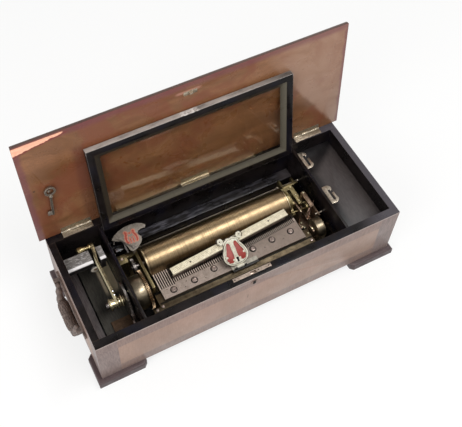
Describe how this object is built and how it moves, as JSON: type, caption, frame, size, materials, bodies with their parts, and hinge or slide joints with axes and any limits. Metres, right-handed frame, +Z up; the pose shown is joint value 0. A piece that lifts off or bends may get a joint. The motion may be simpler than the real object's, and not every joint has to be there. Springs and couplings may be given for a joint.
{
  "type": "cylinder music box",
  "caption": "Wooden cylinder music box, lids open, with pinned cylinder, comb, spring barrel and winding lever, zither bar, tune indicator, governor and end handles.",
  "frame": {"origin": "on the ground under the middle of the case body", "axes": "+X along the case to the right, +Y to the hinge side at the back, +Z up"},
  "size_m": [0.604, 0.2577, 0.3606],
  "materials": {
    "veneer": "satin",
    "black_wood": "satin",
    "lid_wood": "satin",
    "plain_wood": "matt",
    "case_brass": "aged",
    "bed_brass": "aged",
    "cylinder_brass": "aged",
    "bright_brass": "polished",
    "comb_steel": "satin",
    "dark_steel": "satin",
    "nickel": "worn",
    "cream_metal": "satin",
    "tissue": "matt",
    "handle_iron": "worn",
    "clear_glass": "clear"
  },
  "bodies": {
    "case": {"case_front": "veneer", "case_back": "veneer", "case_left_end": "veneer", "case_right_end": "veneer", "case_bottom": "plain_wood", "foot_front_left": "black_wood", "foot_front_right": "black_wood", "foot_rear_left": "black_wood", "foot_rear_right": "black_wood", "left_partition": "black_wood", "right_partition": "black_wood", "rear_rail": "black_wood", "lever_rest": "black_wood", "left_floor": "black_wood", "right_board": "black_wood", "lock_plate": "case_brass", "escutcheon": "case_brass", "hinge_leaves": "case_brass", "handle_plate_left": "handle_iron", "handle_plate_right": "handle_iron", "bedplate": "bed_brass", "comb_base": "bed_brass", "comb": "comb_steel", "comb_screws": "comb_steel", "main_bridge": "bright_brass", "right_bridge": "bright_brass", "governor_frame": "bright_brass", "governor_drum": "bright_brass", "zither_bracket": "comb_steel", "tune_plate": "cream_metal"},
    "lid": {"lid_panel": "lid_wood", "hinge_flaps": "case_brass", "lid_catch": "case_brass", "key_nail": "dark_steel"},
    "glass_lid": {"glass_frame": "black_wood", "glass_pane": "clear_glass", "glass_pins": "dark_steel"},
    "key": {"lock_key": "dark_steel"},
    "left_bail": {"handle_bail_left": "handle_iron"},
    "right_bail": {"handle_bail_right": "handle_iron"},
    "winding_arbor": {"barrel_arbor": "dark_steel", "ratchet_wheel": "dark_steel"},
    "pawl": {"ratchet_pawl": "dark_steel"},
    "lever": {"winding_lever": "bright_brass", "winding_grip": "bright_brass"},
    "barrel": {"barrel_drum": "bright_brass", "barrel_wheel": "bright_brass", "mainspring": "dark_steel"},
    "cylinder_shaft": {"cylinder_arbor": "dark_steel", "cylinder_wheel": "bright_brass"},
    "cylinder": {"cylinder_tube": "cylinder_brass", "cylinder_caps": "cylinder_brass"},
    "governor_train": {"governor_wheel": "bright_brass"},
    "fan_spindle": {"fan": "bright_brass"},
    "zither": {"zither_lyre": "cream_metal", "zither_bar": "cream_metal", "zither_roll": "tissue"},
    "pointer": {"tune_pointer": "dark_steel"},
    "change": {"change_lever": "nickel"},
    "start": {"start_lever": "nickel"}
  },
  "joints": [
    {"name": "lid_hinge", "type": "hinge", "parent": "case", "child": "lid", "pos_m": [0, 0.1083, 0.134], "axis": [-1, 0, 0], "range_deg": [-95.9, 0]},
    {"name": "glass_lid_hinge", "type": "hinge", "parent": "case", "child": "glass_lid", "pos_m": [0, 0.09156, 0.12889], "axis": [-1, 0, 0], "range_deg": [-99.8, 0]},
    {"name": "key_swing", "type": "hinge", "parent": "lid", "child": "key", "pos_m": [-0.2534, 0.11546, 0.25189], "axis": [0, -0.9947, 0.1028], "range_deg": [-2.5, 15]},
    {"name": "left_bail_hinge", "type": "hinge", "parent": "case", "child": "left_bail", "pos_m": [-0.289, 0, 0.092], "axis": [0, 1, 0], "range_deg": [0, 85]},
    {"name": "right_bail_hinge", "type": "hinge", "parent": "case", "child": "right_bail", "pos_m": [0.289, 0, 0.092], "axis": [0, -1, 0], "range_deg": [0, 85]},
    {"name": "lever_swing", "type": "hinge", "parent": "case", "child": "lever", "pos_m": [0, -0.024, 0.08], "axis": [1, 0, 0], "range_deg": [0, 110]},
    {"name": "arbor_turn", "type": "hinge", "parent": "case", "child": "winding_arbor", "pos_m": [0, -0.024, 0.08], "axis": [1, 0, 0], "continuous": true},
    {"name": "pawl_lift", "type": "hinge", "parent": "case", "child": "pawl", "pos_m": [-0.196, -0.062, 0.062], "axis": [1, 0, 0], "range_deg": [0, 12], "stiffness_Nm_per_rad": 0.01, "springref_deg": -11.46},
    {"name": "cylinder_turn", "type": "hinge", "parent": "case", "child": "cylinder_shaft", "pos_m": [0, 0.0236, 0.08], "axis": [1, 0, 0], "continuous": true},
    {"name": "barrel_turn", "type": "hinge", "parent": "case", "child": "barrel", "pos_m": [0, -0.024, 0.08], "axis": [1, 0, 0], "continuous": true},
    {"name": "cylinder_shift", "type": "slide", "parent": "cylinder_shaft", "child": "cylinder", "axis": [-1, 0, 0], "range_m": [0, 0.0028]},
    {"name": "governor_turn", "type": "hinge", "parent": "case", "child": "governor_train", "pos_m": [0, -0.00265, 0.08], "axis": [1, 0, 0], "continuous": true},
    {"name": "fan_turn", "type": "hinge", "parent": "case", "child": "fan_spindle", "pos_m": [0.1635, -0.0155, 0], "axis": [0, 0, 1], "continuous": true},
    {"name": "zither_engage", "type": "hinge", "parent": "case", "child": "zither", "pos_m": [0, -0.057, 0.0845], "axis": [-1, 0, 0], "range_deg": [0, 3]},
    {"name": "pointer_turn", "type": "hinge", "parent": "case", "child": "pointer", "pos_m": [-0.15, 0.043, 0.109], "axis": [0, 0, -1], "range_deg": [0, 50]},
    {"name": "change_rock", "type": "hinge", "parent": "case", "child": "change", "pos_m": [0, 0.056, 0.078], "axis": [1, 0, 0], "range_deg": [0, 8]},
    {"name": "start_rock", "type": "hinge", "parent": "case", "child": "start", "pos_m": [0, -0.025, 0.085], "axis": [1, 0, 0], "range_deg": [0, 8]}
  ],
  "couplings": [
    {"joint": "glass_lid_hinge", "follows": "lid_hinge", "ratio": 1.0407},
    {"joint": "barrel_turn", "follows": "cylinder_turn", "ratio": -0.4},
    {"joint": "governor_turn", "follows": "cylinder_turn", "ratio": -6},
    {"joint": "fan_turn", "follows": "cylinder_turn", "ratio": 120},
    {"joint": "pointer_turn", "follows": "cylinder_shift", "rad_per_m": 311.67}
  ]
}
